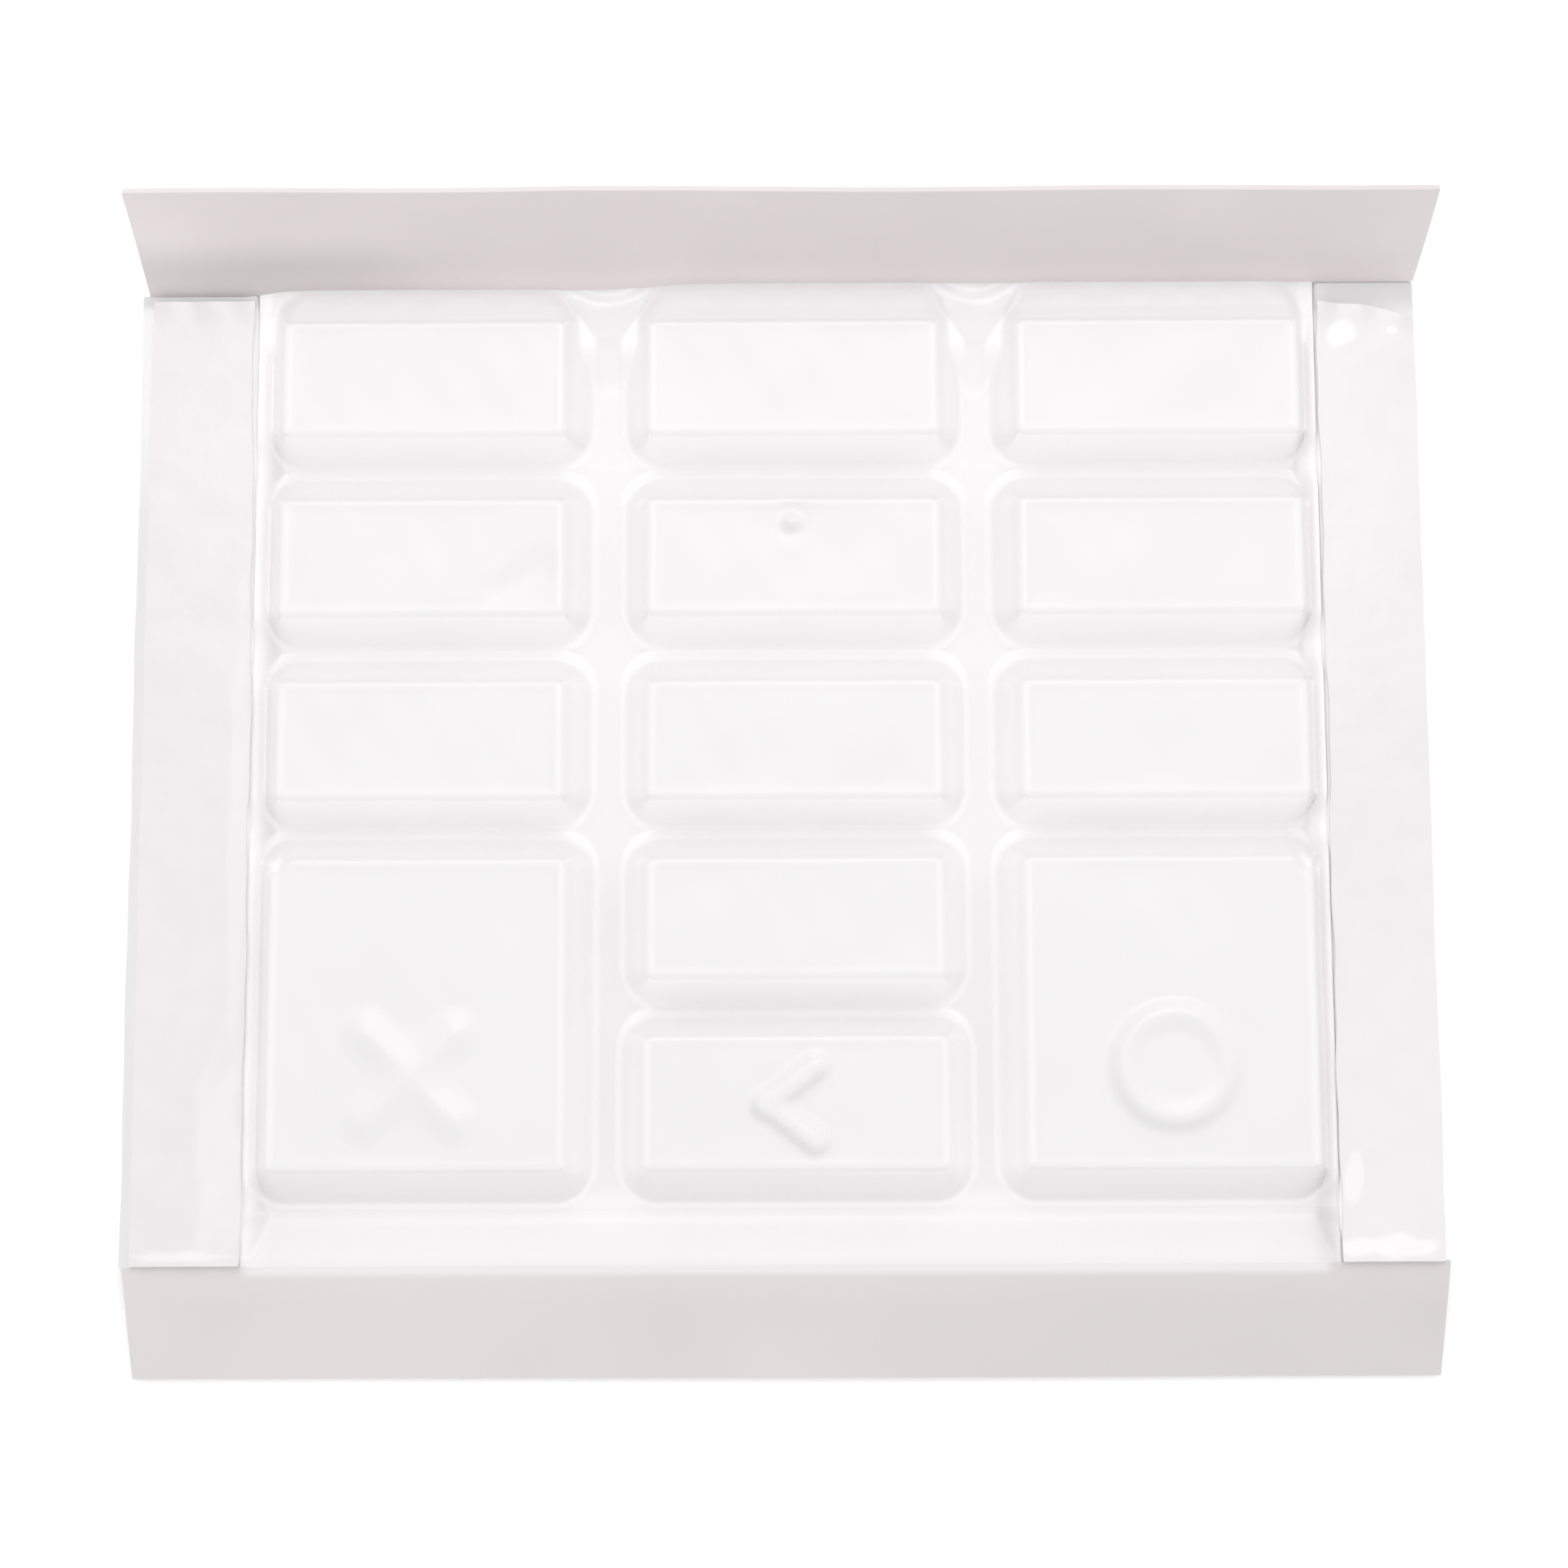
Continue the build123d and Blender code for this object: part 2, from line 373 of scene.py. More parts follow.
def pocket_skin(key, x, y):
    """Height of the film round one pocket, and its place across the wall."""
    p = POCKETS[key]
    place = wall_place(p, x, y)
    draft = 0.5 * (p.d_left + min(p.d_rear, 2))
    share = np.where(place < 0, place / draft, np.where(place > 1, 1 + (place - 1) / draft, place))
    fall = soft_max(soft_min(share, np.ones_like(share), 0.22), np.zeros_like(share), 0.12)
    inside = np.clip(-place / 1.2, 0, 1)
    bead = 0.03 * bump(place + 0.35, 0.35)
    top = KEY_TOP + bead + inside * ripple(x, y, key) - 0.03
    if key in MARKS:
        top = top + np.clip(-place / 0.5, 0, 1) * MARKS[key](p, x, y)
    if key in CORNERS:
        near = plateau(corner_distance(key, x, y), 0.9, 1.3)
        top = top - 0.4 * near
        # the pressed corner also takes a wall's painted grey
        place = np.where(place < 0.4, place + (0.4 - place) * near, place)
    height = top - (top - FILM) * fall
    height = height + 0.12 * crescents(x, y)
    return soft_max(height, web_height(x, y), 0.25), place


def mark_slope(key, x, y):
    """How steeply a pocket's mark rises away from the light, which is at the rear right."""
    dx, dy = 0.045, 0.09
    mark, p = MARKS[key], POCKETS[key]
    near, far = mark(p, x - dx, y - dy), mark(p, x + dx, y + dy)
    return (far - near) / 0.2 * (outline_distance(p, 0, x, y) < 0)


def aim(p, x, y):
    """-1 where a wall faces the user, 1 where it faces away and 0 at the sides."""
    dx = np.maximum(np.maximum(p.left - x, x - p.right), 0)
    dy = np.maximum(y - p.rear, 0) - np.maximum(p.front - y, 0)
    near_edge = np.minimum(np.minimum(x - p.left, p.right - x), np.minimum(y - p.front, p.rear - y))
    inside_y = np.where(near_edge == p.rear - y, 1.0, np.where(near_edge == y - p.front, -1.0, 0.0))
    steep = dy / np.maximum(np.hypot(dx, dy), 1e-6)
    return np.where(near_edge > 0, inside_y, steep)


# ---------------------------------------------------------------- mesh making


class Skin:
    """Collects closed sheets of film into one mesh, with the values that its material reads."""

    def __init__(self):
        self.points, self.quads = [], []
        # place and aim say where a point lies; the last two values darken and lighten the colour:
        # painted shade and painted light
        self.values = {"place": [], "aim": [], "tint": [], "fold": []}
        self.count = 0

    def add(self, upper, lower, place=2.0, aim_at=0.0, tint=0.0, fold=0.0):
        """A grid of film between its upper and lower faces, closed round its edge."""
        rows, columns = upper.shape[:2]
        index = np.arange(rows * columns).reshape(rows, columns) + self.count
        under = index + rows * columns
        quads = [self.patch(index), self.patch(under)[:, ::-1]]
        rim = np.concatenate([index[0, :-1], index[:-1, -1], index[-1, :0:-1], index[:0:-1, 0]])
        after, shift = np.roll(rim, -1), rows * columns
        quads.append(np.stack([after, rim, rim + shift, after + shift], 1))
        self.quads += quads
        self.points += [upper.reshape(-1, 3), lower.reshape(-1, 3)]
        for name, value in zip(self.values, (place, aim_at, tint, fold)):
            flat = np.broadcast_to(value, (rows, columns)).reshape(-1)
            self.values[name] += [flat, flat]
        self.count += 2 * rows * columns

    @staticmethod
    def patch(index):
        """The quads of a grid of vertex numbers."""
        corners = (index[:-1, :-1], index[:-1, 1:], index[1:, 1:], index[1:, :-1])
        return np.stack([c.reshape(-1) for c in corners], 1)

    def build(self, name, material):
        """The finished object, in metres."""
        points, quads = np.concatenate(self.points) * MM, np.concatenate(self.quads)
        mesh = bpy.data.meshes.new(name)
        mesh.vertices.add(len(points))
        mesh.vertices.foreach_set("co", points.astype(np.float32).reshape(-1))
        mesh.loops.add(4 * len(quads))
        mesh.loops.foreach_set("vertex_index", quads.astype(np.int32).reshape(-1))
        mesh.polygons.add(len(quads))
        mesh.polygons.foreach_set("loop_start", np.arange(0, 4 * len(quads), 4, dtype=np.int32))
        mesh.update(calc_edges=True)
        for title, chunks in self.values.items():
            layer = mesh.attributes.new(title, "FLOAT", "POINT")
            layer.data.foreach_set("value", np.concatenate(chunks).astype(np.float32))
        mesh.materials.append(material)
        mesh.shade_smooth()
        mesh.set_sharp_from_angle(angle=radians(50))
        obj = bpy.data.objects.new(name, mesh)
        bpy.context.scene.collection.objects.link(obj)
        return obj


def grid_lines(start, stop, fine_zones, borders):
    """Grid lines, close together in the fine zones, that run exactly through the borders."""
    marks, at = [], start
    while at < stop:
        marks.append(at)
        at += FINE if any(low <= at <= high for low, high in fine_zones) else COARSE
    kept = [m for m in marks if min(abs(m - b) for b in borders) > 0.4 * FINE]
    return np.array(sorted(kept + [b for b in borders if start <= b <= stop]))


def wall_zones(low_edge, high_edge):
    """Fine zones over the two walls of a pocket, from its edges at the top and the foot."""
    margin = 0.55
    return [(min(pair) - margin, max(pair) + margin) for pair in (low_edge, high_edge)]


X_ZONES = [
    z
    for key in ("1", "2", "3", "cancel", "clear")
    for p in (POCKETS[key],)
    for z in wall_zones((p.left - p.d_left, p.left), (p.right, p.right + p.d_right))
]
Y_ZONES = [
    z
    for key in ("1", "4", "7", "0", "clear")
    for p in (POCKETS[key],)
    for z in wall_zones((p.front - p.d_front, p.front), (p.rear, p.rear + p.d_rear))
]
ROW_BORDERS = sorted({line for lines in ROW_LINES for line in lines} | {BRIDGE})
XS = grid_lines(-LEFT_INNER, RIGHT_INNER, X_ZONES, COLUMN_LINES)
YS = grid_lines(APRON_FOOT, BRIDGE, Y_ZONES, ROW_BORDERS)
YS = np.concatenate([YS, np.linspace(BRIDGE, REAR_CREASE, 22)[1:]])


def stack(x, y, z):
    """Points from grids of their coordinates."""
    return np.stack([x, y, z], -1)


def crease_wave(x):
    """How far the rear crease wanders off its straight line."""
    return 0.05 + 0.33 * smooth((x + 12) / 8) - 0.35 * smooth((-29.5 - x) / 3)


MARK_SHADE = 0.11  # how strongly the marks' slopes get painted shade and painted highlights
ROW_PAINTED_SHADE = (0.0, 0.011, 0.011, 0.015)  # painted shade: the film greys towards the user, as the light falls off
LAST_PAINTED_SHADE = 0.14  # painted shade: the same on the walls nearest the user
LOW_WEB_PAINTED_SHADE = 0.032  # painted shade: the same on the web
WEB_PLACE = 1.35  # place across a wall from which the film has the web's tone


def film_values(key, row, x, y, place):
    """What the film's material reads: place, facing, painted shade and painted highlights on the
    folds.
    """
    facing, fold = aim(POCKETS[key], x, y), fold_light(x, y)
    tint = ROW_PAINTED_SHADE[min(row, 3)]
    # painted shade on the front walls of the pockets nearest the user
    if key in LAST_KEYS:
        front_wall = np.clip(-facing, 0, 1) * plateau(np.abs(place - 0.45), 0.42, 0.62)
        tint = tint + LAST_PAINTED_SHADE * front_wall
    # inside the V the film takes the web's painted grey and a little painted shade
    vee = inside_vee(x, y)
    place = place + np.maximum(WEB_PLACE - place, 0) * vee
    tint = tint + 0.02 * vee * smooth((REAR_CREASE - 0.9 - y) / 0.5)
    # painted shade on the web towards the user, and painted light on it ahead of the nearest
    # pockets
    low_web = smooth((place - 0.9) / 0.3)
    tint = tint + LOW_WEB_PAINTED_SHADE * low_web * smooth((-4 - y) / 3) * (1 - last_foot(y))
    fold = np.maximum(fold, 0.15 * low_web * last_foot(y))
    # painted shade on the mark's slopes that face away from the light, painted highlights on those
    # that face it
    if key in MARKS:
        slope = mark_slope(key, x, y)
        tint = tint + MARK_SHADE * np.clip(slope, 0, 1)
        fold = np.maximum(fold, 2 * MARK_SHADE * np.clip(-slope, 0, 1))
    return place, facing, tint, fold


def pocket_tile(key, column, row, material):
    """The film of one pocket and of the web round it, out to the middle of the valleys."""
    xs = XS[(XS >= COLUMN_LINES[column]) & (XS <= COLUMN_LINES[column + 1])]
    rear, front = ROW_LINES[column][row], ROW_LINES[column][row + 1]
    ys = YS[(YS >= front) & (YS <= rear)]
    x, y = np.meshgrid(xs, ys)
    z, place = pocket_skin(key, x, y)
    place, facing, tint, fold = film_values(key, row, x, y, place)
    along = np.clip((y - BRIDGE) / (REAR_CREASE - BRIDGE), 0, 1)
    z = z + 0.04 * np.sin(1.9 * x + 1.2 * np.sin(0.5 * x)) * bump(along - 0.5, 0.5)
    # painted shade near the rear crease and at the right rear corner
    tint = tint + 0.1 * smooth((along - 0.6) / 0.4) + 0.08 * smooth((x - 29) / 2) * along
    y = y + crease_wave(x) * along
    skin = Skin()
    skin.add(stack(x, y, z), stack(x, y, z - FILM), place, facing, tint, fold)
    tile = skin.build(f"film_{key}", material)
    body = f"pocket_{key}"
    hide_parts(body)
    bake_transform(tile)


# ---------------------------------------------------------------- rails, aprons and flaps


def soft_path(corners, radius, steps=5):
    """A path of straight runs whose corners are rounded."""
    corners = [np.array(c, float) for c in corners]
    path = [corners[0]]
    for before, at, after in zip(corners, corners[1:], corners[2:]):
        back, ahead = before - at, after - at
        reach = min(radius, 0.45 * np.linalg.norm(back), 0.45 * np.linalg.norm(ahead))
        a = at + back / np.linalg.norm(back) * reach
        b = at + ahead / np.linalg.norm(ahead) * reach
        for t in np.linspace(0, 1, steps):
            path.append((1 - t) ** 2 * a + 2 * t * (1 - t) * at + t**2 * b)
    path.append(corners[-1])
    return np.array(path)


def refine(path, spacing):
    """The same path with points no further apart than the spacing."""
    points = [path[0]]
    for a, b in zip(path, path[1:]):
        count = max(1, int(np.ceil(np.linalg.norm(b - a) / spacing)))
        points += [a + (b - a) * (i + 1) / count for i in range(count)]
    return np.array(points)


def normals_of(path):
    """Unit normals to the left of a plane path."""
    run = np.gradient(path, axis=0)
    run /= np.linalg.norm(run, axis=1)[:, None]
    return np.stack([-run[:, 1], run[:, 0]], 1)


def rail(skin, side):
    """One side rail: inner wall, flat top and flared outer skirt, swept from front to rear."""
    inner, wider = (LEFT_INNER, 0.4) if side < 0 else (RIGHT_INNER, 0.0)
    corners = (
        (inner, 0.05),
        (inner, RAIL_TOP),
        (RAIL_OUTER + wider, RAIL_TOP),
        (SKIRT_FOOT + wider, 0),
    )
    path = refine(soft_path(corners, 0.35), 0.8)
    under = path - normals_of(path) * THIN_FILM
    under[:, 1] = np.maximum(under[:, 1], 0)
    ys = np.linspace(FRONT_CREASE, REAR_CREASE, 120)
    wave = 0.03 * np.sin(0.31 * ys + side) + 0.018 * np.sin(0.9 * ys)
    end = smooth((ys - REAR_CREASE + 2.2) / 1.2)  # the rear end of the right rail sags, and is painted dark there as shadow
    faces = []
    for line in (path, under):
        out, up = line[:, 0][None, :], line[:, 1][None, :]
        x = side * (out + wave[:, None] * (out > RAIL_OUTER - 0.5))
        z = up - (side > 0) * 0.15 * end[:, None] * (up > 1.5)
        y = ys[:, None] + crease_wave(x) * smooth((ys[:, None] - 26) / 4.5)
        foot = web_height(0 * y + side * inner, y) - FILM - 0.3 * smooth((SHELF - y) / 2)
        z = np.where(np.abs(x) < inner + 1, np.maximum(z, foot), z)
        faces.append(stack(x, y, z))
    # painted shadow at the rear end of each rail by the crease, and painted shade on the outer
    # skirts towards the front
    tint = 0.22 * end if side > 0 else 0.2 * smooth((ys - REAR_CREASE + 0.9) / 0.3)
    skirt = 0.12 * smooth((24 - ys[:, None]) / 10) * smooth((np.abs(x) - RAIL_OUTER + 0.3) / 0.3)
    tint = np.maximum(tint[:, None], skirt)
    # painted light along the inner edge of each rail, strongest where two pockets meet
    seams = 0.3 + 0.7 * bump(seam_distance(ys), 1.8)[:, None]
    fold = seams * smooth((inner + 0.75 - np.abs(x)) / 0.3)
    if side < 0:
        faces, tint, fold = [f[:, ::-1] for f in faces], tint[:, ::-1], fold[:, ::-1]
    skin.add(faces[0], faces[1], tint=tint, fold=fold)


def front_apron(skin):
    """The slope of film from the web up to the front crease."""
    ys = np.linspace(FRONT_CREASE, APRON_FOOT, 16)
    x, y = np.meshgrid(XS, ys)
    climb = (APRON_FOOT - y) / (APRON_FOOT - FRONT_CREASE)
    rise = (RAIL_TOP - FILM) * np.clip(climb * climb * (1.6 - 0.6 * climb), 0, 1)
    z = soft_max(FILM + rise, web_height(x, y), 0.2)
    corner = smooth((-x - LEFT_INNER + 1.8) / 1.2)
    near_right = smooth((x - RIGHT_INNER + 1.6) / 0.8)
    # painted shade on the slope, darker towards the crease and beside the right rail
    tint = 0.015 + 0.02 * smooth(climb / 0.2) + 0.03 * bump(climb - 0.16, 0.18)
    tint = tint + 0.04 * smooth((climb - 0.82) / 0.18) + 0.03 * near_right
    # painted light on the slope, strongest at the left corner and none beside the right rail
    slope_light = 0.15 + 0.05 * smooth(climb / 0.5) + 0.3 * corner
    fold = np.maximum(fold_light(x, y), slope_light) * (1 - near_right)
    skin.add(stack(x, y, z), stack(x, y, z - FILM), place=3.0, tint=tint, fold=fold)


def film_frame(material):
    """Everything of the film that never moves: rails and front apron."""
    skin = Skin()
    for side in (-1, 1):
        rail(skin, side)
    front_apron(skin)
    body = skin.build("film_frame", material)
    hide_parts("cover_sheet")
    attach(body, "sheet")


def flap(name, material, root, lean, length, widths, wave, shade):
    """A tongue of film that leaves a crease and ends in a free edge. The wave function gives its
    extra reach and its bulge, and the shade function its painted shade."""
    u, s = np.meshgrid(np.linspace(-1, 1, 160), np.linspace(0, 1, 18))
    x = u * (widths[0] + (widths[1] - widths[0]) * s) / 2
    reach, bulge = wave(u, s)
    run = length * s + reach
    y0, z0 = root
    sign = 1 if lean > 0 else -1  # 1 for the rear flap and -1 for the front one
    shift = crease_wave(x) * (1 - s) ** 2 * (lean > 0)
    away = np.array([sign * cos(lean), sin(lean)])
    normal = np.array([-away[1], away[0]]) * sign
    y = y0 + shift + run * away[0] + bulge * normal[0]
    upper = stack(x, y, z0 + run * away[1] + bulge * normal[1])
    lower = upper - np.array([0, normal[0], normal[1]]) * THIN_FILM
    skin = Skin()
    turned = slice(None, None, sign)
    lit = smooth((LEFT_INNER - 0.2 - np.abs(x)) / 0.3)
    skin.add(upper[turned], lower[turned], s[turned] * length, lit[turned], shade(u, s)[turned])
    tongue = skin.build(f"{name}_film", material)
    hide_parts(name)
    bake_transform(tongue)


def rear_shade(u, s):
    """Painted shade: the rear flap is greyer low at its left end, and a little from there to the
    right.
    """
    corner = smooth((-0.45 - u) / 0.35) * smooth((0.6 - s) / 0.4)
    return 0.19 * corner + 0.06 * smooth((u + 0.9) / 1.2)


def front_shade(u, s):
    """Painted shade: the front flap greys towards its right end."""
    return 0.06 * smooth((u + 0.5) / 1.5)


def rear_wave(u, s):
    """The rear flap's free edge peaks left of the middle, and the flap bows a little."""
    peak = 1 - np.abs(u + 0.33) / 1.33
    return 0.55 * s * (peak - 0.5), 0.25 * s * np.cos(2.1 * u + 0.5) + 0.06 * np.sin(9 * u) * s


def front_wave(u, s):
    """The front flap is almost flat."""
    return 0.05 * s * u, 0.06 * s * np.sin(3 * u + 1)


def rear_flap(material):
    """The flap that stands up behind the keys."""
    top = box_mm("rear_flap")[1][2]
    lean = radians(60)
    length = (top - RAIL_TOP - FILM) / sin(lean)
    root = (REAR_CREASE - 0.05, RAIL_TOP)
    flap("rear_flap", material, root, lean, length, (76.0, 76.8), rear_wave, rear_shade)


def front_flap(material):
    """The flap that slopes down ahead of the keys, almost to the floor."""
    reach = FRONT_CREASE - box_mm("front_flap")[0][1]
    drop = RAIL_TOP - THIN_FILM - 0.02
    lean, length = -atan2(drop, reach), np.hypot(reach, drop) - 0.45
    root = (FRONT_CREASE, RAIL_TOP)
    flap("front_flap", material, root, lean, length, (76.45, 75.75), front_wave, front_shade)


# ---------------------------------------------------------------- strips


TAPE = 0.25  # thickness of the adhesive tape
LINER_TOP, LINER = 0.15, 0.13  # height of a liner's upper face above its tape, and its thickness
STRIP_STEPS = (40, 300)  # grid lines across and along a strip
# Painted reflections on the glossy liners: middle, half width, half length and strength of each
PAINTED_REFLECTIONS = {
    "left": (
        (-32.7, -21.5, 1.5, 7.0, 0.35),
        (-34.6, -26.9, 3.0, 0.3, 0.7),
        (-32.0, -2.0, 0.6, 14.0, 0.3),
    ),
    "right": (
        (33.6, 27.5, 1.0, 0.9, 1.0),
        (36.6, 27.7, 0.4, 0.3, 1.0),
        (32.7, -22.9, 0.7, 1.9, 0.8),
        (34.8, -26.6, 3.4, 0.7, 1.0),
    ),
}


def strip_grid(name, piece, inset=0.0):
    """A grid between a strip's wavy edges, its place across them and the height it lies at."""
    low, high = box_mm(f"{name}_{piece}")
    across = np.linspace(0, 1, STRIP_STEPS[0])
    across, y = np.meshgrid(across, np.linspace(low[1], high[1], STRIP_STEPS[1]))
    drift = 0.05 * np.sin(0.45 * y) + 0.03 * np.sin(1.3 * y + 1)
    if name == "left":
        inner = high[0] + 0.15 * smooth((18 - y) / 14) - 0.12 * smooth((y - 18) / 8) + drift
        outer = low[0] + 0.15 + 0.5 * drift
        x = outer + (inner - inset - outer) * across
    else:
        inner = low[0] + drift - 0.1 * smooth((2 - y) / 10)
        x = inner + inset + (high[0] - 0.5 * drift - inner - inset) * across
        end = 0.25 + 0.9 * across**1.5 + 0.06 * np.sin(9 * across)
        y = y - (end - inset) * smooth((y - 20) / (high[1] - 20))
    return x, y, across, low[2]


def tape(name, material):
    """The band of adhesive under a liner."""
    x, y, _, bottom = strip_grid(name, "tape", 0.02)
    skin = Skin()
    skin.add(stack(x, y, 0 * x + bottom + TAPE), stack(x, y, 0 * x + bottom))
    band = skin.build(f"{name}_tape_band", material)
    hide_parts(f"{name}_tape")
    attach(band, "sheet")


def liner(side, name, material):
    """A release liner on its tape, slightly wavy, with lifted ends."""
    x, y, across, bottom = strip_grid(name, "liner")
    along = np.linspace(0, 1, STRIP_STEPS[1])[:, None]
    ends = bump(along, 0.02) + bump(1 - along, 0.03)
    lift = 0.07 * ends * (0.6 + 0.4 * np.sin(5 * across * pi + side))
    lift = lift + 0.02 * np.sin(0.5 * y + 2 * side) * np.sin(pi * across)
    # painted reflections, lightening the liner in patches
    shine = np.zeros_like(x)
    for cx, cy, half_width, half_length, strength in PAINTED_REFLECTIONS[name]:
        wander = 0.25 * np.sin(1.9 * x + 0.7 * y) + 0.2 * np.sin(3.1 * x - 1.3 * y)
        far = np.hypot((x - cx) / half_width, (y - cy) / half_length) + 0.5 * wander
        shine = np.maximum(shine, strength * plateau(far, 0.7, 1.1))
    # painted light on the right liner, growing towards the front
    if side > 0:
        shine = np.maximum(shine, 0.25 * smooth((5 - y) / 25))
    z = bottom + np.maximum(lift, 0) + LINER_TOP
    skin = Skin()
    skin.add(stack(x, y, z), stack(x, y, z - LINER), fold=shine)
    strip = skin.build(f"{name}_liner_sheet", material)
    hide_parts(f"{name}_liner")
    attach(strip, f"{name}_liner")


# ---------------------------------------------------------------- materials


def new_material(name):
    """A material, its node tree and its shader."""
    material = bpy.data.materials.new(name)
    material.use_nodes = True
    tree = material.node_tree
    return material, tree, tree.nodes["Principled BSDF"]


def link(tree, out, into):
    """Join an output to an input."""
    tree.links.new(out, into)


def node(tree, kind, **inputs):
    """A shader node with some of its input values set."""
    made = tree.nodes.new(kind)
    for name, value in inputs.items():
        made.inputs[name.replace("_", " ")].default_value = value
    return made


def math_node(tree, operation, a, b):
    """The result of an operation on two outputs or numbers."""
    made = tree.nodes.new("ShaderNodeMath")
    made.operation = operation
    for socket, value in zip(made.inputs, (a, b)):
        if isinstance(value, (int, float)):
            socket.default_value = value
        else:
            link(tree, value, socket)
    return made.outputs[0]


def attribute(tree, name):
    """A value stored on the mesh by Skin."""
    made = tree.nodes.new("ShaderNodeAttribute")
    made.attribute_name = name
    return made.outputs["Fac"]


def noise(tree, scale, detail=3.0, rough=0.55):
    """Noise over the piece's own coordinates, in millimetres."""
    place = tree.nodes.new("ShaderNodeTexCoord")
    made = node(tree, "ShaderNodeTexNoise", Scale=scale / MM, Detail=detail, Roughness=rough)
    link(tree, place.outputs["Object"], made.inputs["Vector"])
    return made.outputs["Fac"]


def ramp(tree, value, stops):
    """A colour ramp over -1.5 to 2.5, from (place, grey) stops."""
    made = tree.nodes.new("ShaderNodeValToRGB")
    scaled = math_node(tree, "MULTIPLY", math_node(tree, "ADD", value, 1.5), 0.25)
    link(tree, scaled, made.inputs["Fac"])
    elements = made.color_ramp.elements
    while len(elements) < len(stops):
        elements.new(0.5)
    for element, (at, grey) in zip(elements, stops):
        element.position = (at + 1.5) / 4
        element.color = (grey, grey, grey, 1)
    return made.outputs["Color"]


def mix(tree, factor, a, b, kind="MIX"):
    """Two colours mixed by a factor. Each of the three is an output, a number or a colour."""
    made = tree.nodes.new("ShaderNodeMix")
    made.data_type = "RGBA"
    made.blend_type = kind
    for name, value in (("Factor", factor), ("A", a), ("B", b)):
        socket = made.inputs[name]
        if isinstance(value, (int, float)):
            socket.default_value = value
        elif isinstance(value, tuple):
            socket.default_value = (*value, 1)
        else:
            link(tree, value, socket)
    return made.outputs["Result"]


def bumped(tree, shader, height, strength, distance):
    """Small unevenness on a shader, at most the distance high, in millimetres."""
    made = tree.nodes.new("ShaderNodeBump")
    made.inputs["Strength"].default_value = strength
    made.inputs["Distance"].default_value = distance * MM
    link(tree, height, made.inputs["Height"])
    link(tree, made.outputs["Normal"], shader.inputs["Normal"])


# Painted light and shade: the film's grey by its place across a wall, below 0 on the top face and
# above 1 on the web. Walls are painted lighter than the top faces, and front, rear and side walls
# in different greys, as light falls on them.
TOP_TONE, WEB_TONE = 0.775, 0.82
SIDE_TONES = (
    (-0.6, TOP_TONE),
    (-0.3, 0.82),
    (-0.05, 0.83),
    (0.12, 0.88),
    (0.35, 0.92),
    (1.0, 0.92),
    (WEB_PLACE, WEB_TONE),
)
FRONT_TONES = (
    (-0.6, TOP_TONE),
    (-0.25, 0.785),
    (-0.07, 0.83),
    (0.08, 1.0),
    (0.85, 1.0),
    (1.08, 0.93),
    (WEB_PLACE, WEB_TONE),
)
REAR_TONES = (
    (-0.6, TOP_TONE),
    (-0.2, 0.79),
    (-0.02, 0.77),
    (0.15, 0.83),
    (1.0, 0.86),
    (WEB_PLACE, WEB_TONE),
)
BLACK, WHITE = (0.0, 0.0, 0.0), (1.0, 1.0, 1.0)
FILM_COLOUR = (0.967, 0.951, 0.959)
# the flaps' film is painted darker than the rest, as shade
REAR_FLAP_SHADED_COLOUR, FRONT_FLAP_SHADED_COLOUR = (0.81, 0.749, 0.756), (0.67, 0.628, 0.633)
LINER_COLOURS = {"left": (0.725, 0.695, 0.702), "right": (0.735, 0.705, 0.712)}


def film_material(name):
    """Milky moulded film. Its painted greys across each wall, its painted shade and its painted
    highlights on the folds are read from the values on the mesh."""
    material, tree, shader = new_material(name)
    place, facing, fold = (attribute(tree, title) for title in ("place", "aim", "fold"))
    rearward = math_node(tree, "MAXIMUM", facing, 0.0)
    frontward = math_node(tree, "MAXIMUM", math_node(tree, "MULTIPLY", facing, -1.0), 0.0)
    tone = mix(tree, rearward, ramp(tree, place, SIDE_TONES), ramp(tree, place, REAR_TONES))
    tone = mix(tree, frontward, tone, ramp(tree, place, FRONT_TONES))
    # painted highlights whiten the colour, painted shade darkens it
    tone = mix(tree, fold, tone, WHITE)
    tone = mix(tree, attribute(tree, "tint"), tone, BLACK)
    haze = ramp(tree, noise(tree, 0.12), ((0.3, 0.985), (0.7, 1.0)))
    colour = mix(tree, 1.0, mix(tree, 1.0, FILM_COLOUR, tone, "MULTIPLY"), haze, "MULTIPLY")
    link(tree, colour, shader.inputs["Base Color"])
    shader.inputs["Roughness"].default_value = 0.32
    shader.inputs["IOR"].default_value = 1.45
    bumped(tree, shader, noise(tree, 2.2, 4), 0.15, 0.02)
    return material


# Painted shade: a flap's grey by the distance from its crease, in millimetres
FLAP_TONES = {
    "rear": ((0.0, 1.0), (0.8, 1.0), (1.8, 0.95), (2.4, 0.94)),
    "front": ((0.0, 1.0), (0.5, 1.0), (1.2, 0.99), (2.4, 0.97)),
}


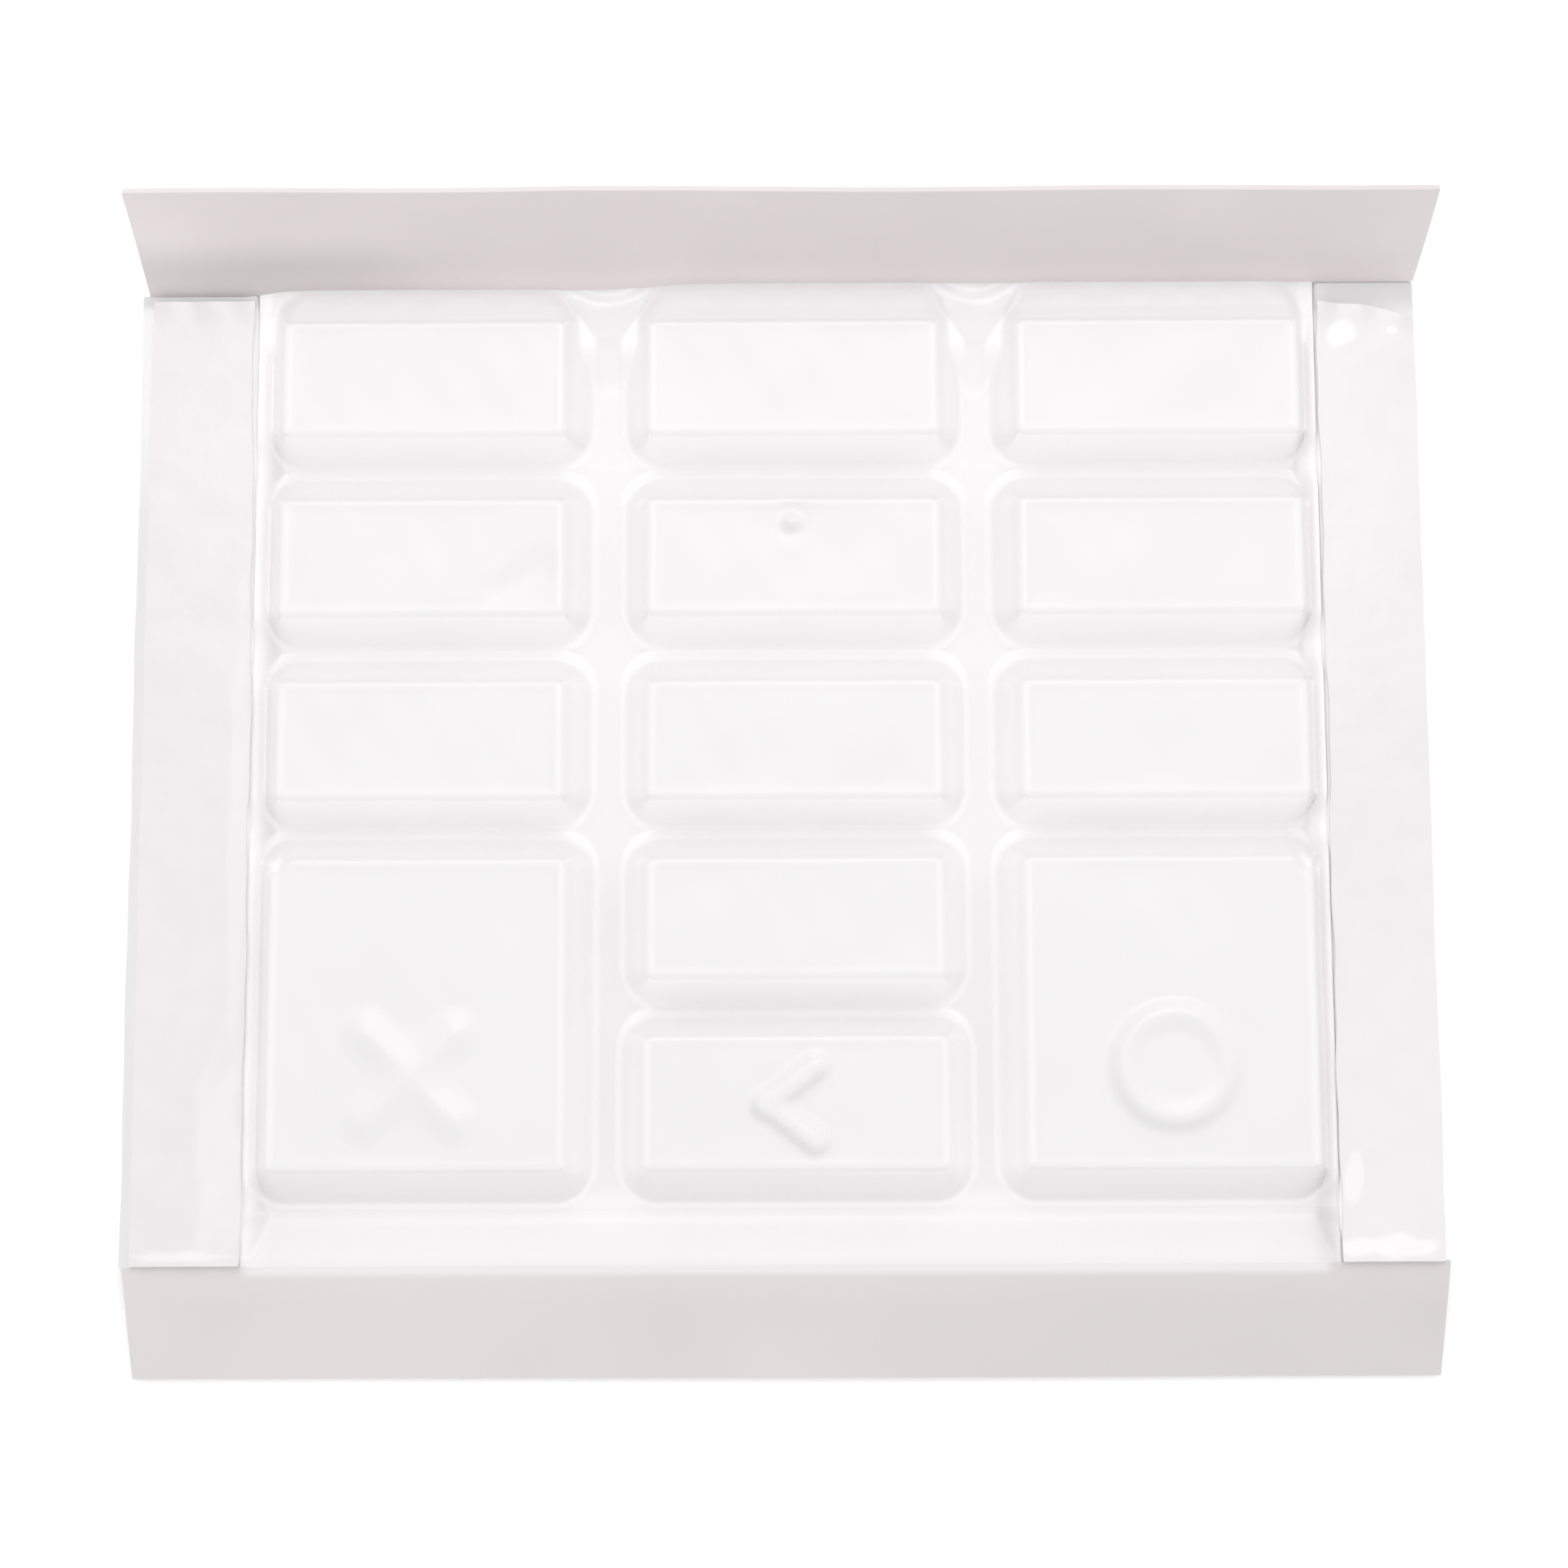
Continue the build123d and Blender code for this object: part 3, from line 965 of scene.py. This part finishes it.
def flap_material(name, colour, tones, blots, crease_shine):
    """The film of a flap, seen at a slant: lilac grey with broad blots. Its colour is painted
    darker than the rest of the film, as shade.
    """
    material, tree, shader = new_material(name)
    run, lit = attribute(tree, "place"), attribute(tree, "aim")
    blot = ramp(tree, noise(tree, 0.05, 2), ((0.3, 1 - blots), (0.7, 1.0)))
    tone = mix(tree, 1.0, blot, ramp(tree, run, tones), "MULTIPLY")
    base = mix(tree, 1.0, colour, tone, "MULTIPLY")
    base = mix(tree, attribute(tree, "tint"), base, BLACK)
    if crease_shine:  # painted highlight where the film turns over the crease
        rolled = ramp(tree, run, ((0.35, 1.0), (0.75, 0.0)))
        base = mix(tree, math_node(tree, "MULTIPLY", rolled, lit), base, (0.725, 0.708, 0.713))
    link(tree, base, shader.inputs["Base Color"])
    shader.inputs["Roughness"].default_value = 0.4
    bumped(tree, shader, noise(tree, 2.2, 4), 0.15, 0.02)
    return material


def liner_material(name, tone):
    """Glossy release liner: pinkish white, clouded, with painted reflections as shiny pale patches.
    """
    material, tree, shader = new_material(name)
    cloud = ramp(tree, noise(tree, 0.11, 3), ((0.3, 0.0), (0.7, 1.0)))
    cool = (tone[0] * 0.965, tone[1] * 0.985, tone[2] * 0.99)
    colour = mix(tree, cloud, cool, tone)
    mottle = ramp(tree, noise(tree, 0.45, 4), ((0.3, 0.97), (0.7, 1.0)))
    colour = mix(tree, 1.0, colour, mottle, "MULTIPLY")
    shine = math_node(tree, "MULTIPLY", attribute(tree, "fold"), 0.35)
    colour = mix(tree, shine, colour, (1.0, 0.965, 0.975))
    link(tree, colour, shader.inputs["Base Color"])
    shader.inputs["Roughness"].default_value = 0.22
    bumped(tree, shader, noise(tree, 0.35, 3), 0.3, 0.1)
    return material


def tape_material(name):
    """Dull white adhesive with a fine grain."""
    material, tree, shader = new_material(name)
    grain = ramp(tree, noise(tree, 1.2, 4), ((0.3, 0.9), (0.7, 1.0)))
    link(tree, mix(tree, 1.0, (0.95, 0.93, 0.925), grain, "MULTIPLY"), shader.inputs["Base Color"])
    shader.inputs["Roughness"].default_value = 0.7
    bumped(tree, shader, noise(tree, 3.0, 3), 0.4, 0.03)
    return material


# ---------------------------------------------------------------- stage, light and camera

VIEW_ELEVATION = radians(82)
VIEW_ROLL = radians(0.25)
VIEW_DISTANCE = 0.175
VIEW_CENTRE = np.array((0.0, 0.77, 0.0)) * MM
LENS, SENSOR = 67.3, 36
KEY_PLACE, KEY_SIZE, KEY_POWER = (0.02, 0.42, 0.85), 0.5, 2.2  # in metres and watts
WORLD_STRENGTH = 1.02
FLOOR_DEPTH, FLOOR_HALF = 0.02 * MM, 1.5  # how far below the object it lies, and half its width


def camera():
    """A camera above the keys, tilted a little towards the user's side."""
    data = bpy.data.cameras.new("camera")
    data.lens = LENS
    data.sensor_width = SENSOR
    data.clip_start = 0.005
    eye = bpy.data.objects.new("camera", data)
    back = np.array((0, -cos(VIEW_ELEVATION), sin(VIEW_ELEVATION)))
    eye.location = VIEW_CENTRE + VIEW_DISTANCE * back
    tilt = Matrix.Rotation(pi / 2 - VIEW_ELEVATION, 3, "X")
    eye.rotation_euler = (tilt @ Matrix.Rotation(-VIEW_ROLL, 3, "Z")).to_euler()
    bpy.context.scene.collection.objects.link(eye)
    bpy.context.scene.camera = eye


def key_light():
    """A square soft box behind and above the object, aimed at its middle."""
    data = bpy.data.lights.new("key", "AREA")
    data.size, data.energy = KEY_SIZE, KEY_POWER
    lamp = bpy.data.objects.new("key", data)
    x, y, z = KEY_PLACE
    lamp.location = KEY_PLACE
    lamp.rotation_euler = (atan2(np.hypot(x, y), z), 0, atan2(y, x) + pi / 2)
    bpy.context.scene.collection.objects.link(lamp)


def world_light():
    """Even white light from all round."""
    world = bpy.data.worlds.new("studio")
    world.use_nodes = True
    background = world.node_tree.nodes["Background"]
    background.inputs["Color"].default_value = (1, 1, 1, 1)
    background.inputs["Strength"].default_value = WORLD_STRENGTH
    bpy.context.scene.world = world


def floor():
    """The plain pale floor, just below the object. It glows faintly, so that it shows white."""
    mesh = bpy.data.meshes.new("floor")
    half = FLOOR_HALF
    corners = [(-half, -half, 0), (half, -half, 0), (half, half, 0), (-half, half, 0)]
    mesh.from_pydata(corners, [], [(0, 1, 2, 3)])
    ground = bpy.data.objects.new("floor", mesh)
    ground.location.z = -FLOOR_DEPTH
    bpy.context.scene.collection.objects.link(ground)
    material, _, shader = new_material("floor")
    shader.inputs["Base Color"].default_value = (0.9, 0.9, 0.9, 1)
    shader.inputs["Roughness"].default_value = 1.0
    shader.inputs["Specular IOR Level"].default_value = 0.0
    shader.inputs["Emission Color"].default_value = (1, 1, 1, 1)
    shader.inputs["Emission Strength"].default_value = 0.12
    mesh.materials.append(material)


def build():
    """Everything in the scene."""
    camera()
    world_light()
    key_light()
    floor()
    film = film_material("milky_film")
    for column, keys in enumerate(COLUMNS):
        for row, key in enumerate(keys):
            pocket_tile(key, column, row, film)
    film_frame(film)
    rear_flap(flap_material("rear_flap_film", REAR_FLAP_SHADED_COLOUR, FLAP_TONES["rear"], 0.12, False))
    front_flap(flap_material("front_flap_film", FRONT_FLAP_SHADED_COLOUR, FLAP_TONES["front"], 0.06, True))
    tape_finish = tape_material("tape")
    for side, name in ((-1, "left"), (1, "right")):
        tape(name, tape_finish)
        liner(side, name, liner_material(f"{name}_liner_film", LINER_COLOURS[name]))
    bpy.context.scene.view_settings.view_transform = "Standard"


build()
